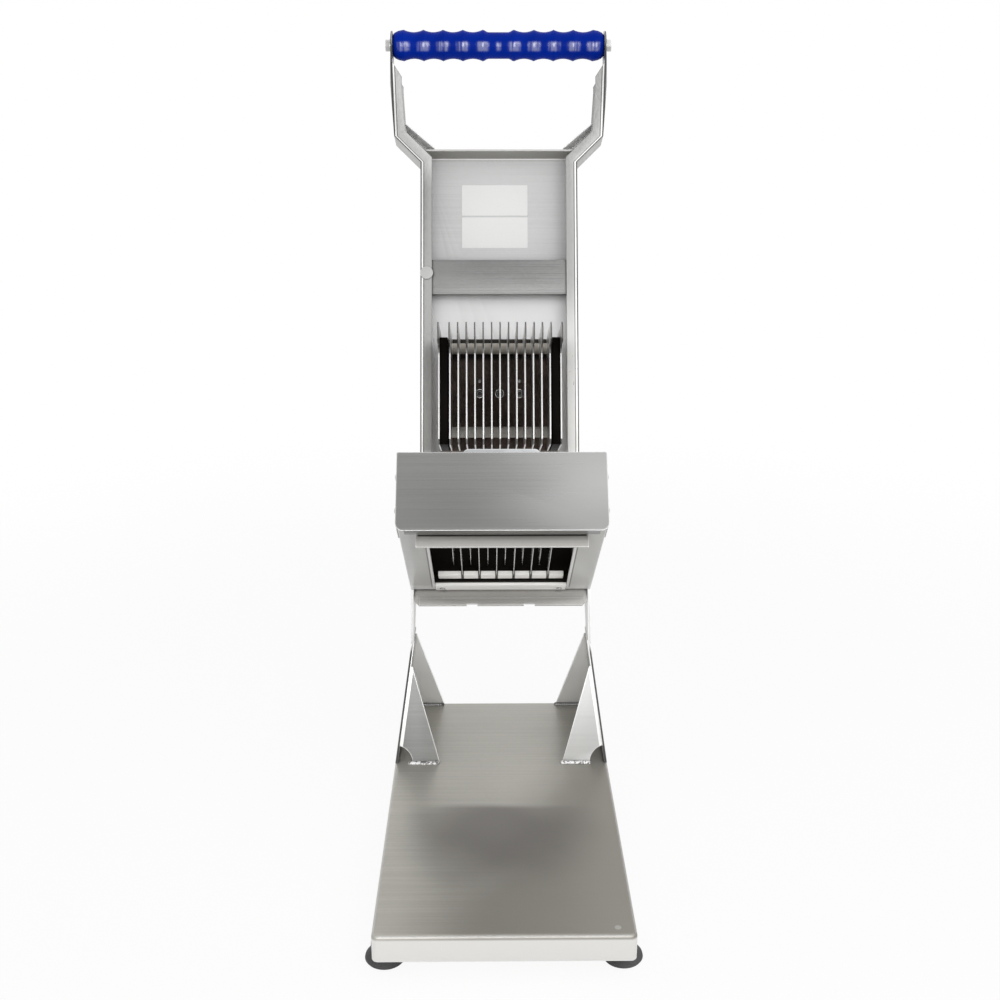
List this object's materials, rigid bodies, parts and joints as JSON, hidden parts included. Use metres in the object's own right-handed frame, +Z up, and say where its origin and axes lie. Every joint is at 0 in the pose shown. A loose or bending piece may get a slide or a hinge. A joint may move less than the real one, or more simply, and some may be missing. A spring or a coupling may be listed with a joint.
{
  "type": "manual vegetable slicer",
  "caption": "Tall hand-lever vegetable slicer in brushed steel: sloped blade chute on splayed legs, swinging pusher fins, blue ribbed grip, base plate on rubber feet.",
  "frame": {"origin": "bottom centre of the bounding box with the lever open, on the floor under the feet", "axes": "+Z is up, -Y is the front where the slices and the pan are, +X is to the right seen from the front"},
  "size_m": [0.2782, 0.708, 0.8406],
  "materials": {
    "brushed_sheet": "brushed stainless sheet, grain along the sheet",
    "fin_steel": "plain stainless sheet with bright cut edges",
    "blade_steel": "ground blade steel with scalloped edges",
    "fastener_steel": "bright turned steel",
    "white_plastic": "white moulded plastic",
    "black_plastic": "black moulded plastic",
    "blue_grip": "glossy blue moulded grip",
    "foot_rubber": "matt black rubber"
  },
  "bodies": {
    "stand": {"base_plate": "brushed_sheet", "rubber_feet": "foot_rubber", "foot_screws": "fastener_steel", "side_frame_left": "brushed_sheet", "side_frame_right": "brushed_sheet", "front_cover": "brushed_sheet", "cover_screws": "fastener_steel", "front_cross_bar": "brushed_sheet", "rear_cross_bar": "brushed_sheet", "window_strip": "fin_steel", "strip_screws": "fastener_steel", "stop_rod": "fastener_steel", "pivot_shaft": "fastener_steel", "pivot_nuts": "fastener_steel", "cartridge_rails": "black_plastic", "cartridge_front_bar": "white_plastic", "cartridge_back_bar": "white_plastic", "cartridge_back_block": "black_plastic", "cartridge_pull_tab": "fin_steel", "lower_blades": "blade_steel", "upper_blades": "blade_steel", "cartridge_screws": "fastener_steel"},
    "lever": {"lever_arm_left": "brushed_sheet", "lever_arm_right": "brushed_sheet", "lever_panel": "brushed_sheet", "lever_cross_bar": "brushed_sheet", "pivot_bushes": "white_plastic", "pusher_block": "black_plastic", "pusher_end_bars": "black_plastic", "pusher_end_plates": "fin_steel", "pusher_fins": "fin_steel", "pusher_tie_rods": "fastener_steel", "pusher_spacers": "fin_steel", "pusher_screws": "fastener_steel", "grip": "blue_grip", "grip_rod": "fastener_steel", "grip_bolts": "fastener_steel", "grip_washers": "fastener_steel"}
  },
  "joints": [
    {"name": "lever_pivot", "type": "hinge", "parent": "stand", "child": "lever", "pos_m": [0, 0.11996, 0.275], "axis": [1, 0, 0], "range_deg": [0, 73.5]}
  ]
}
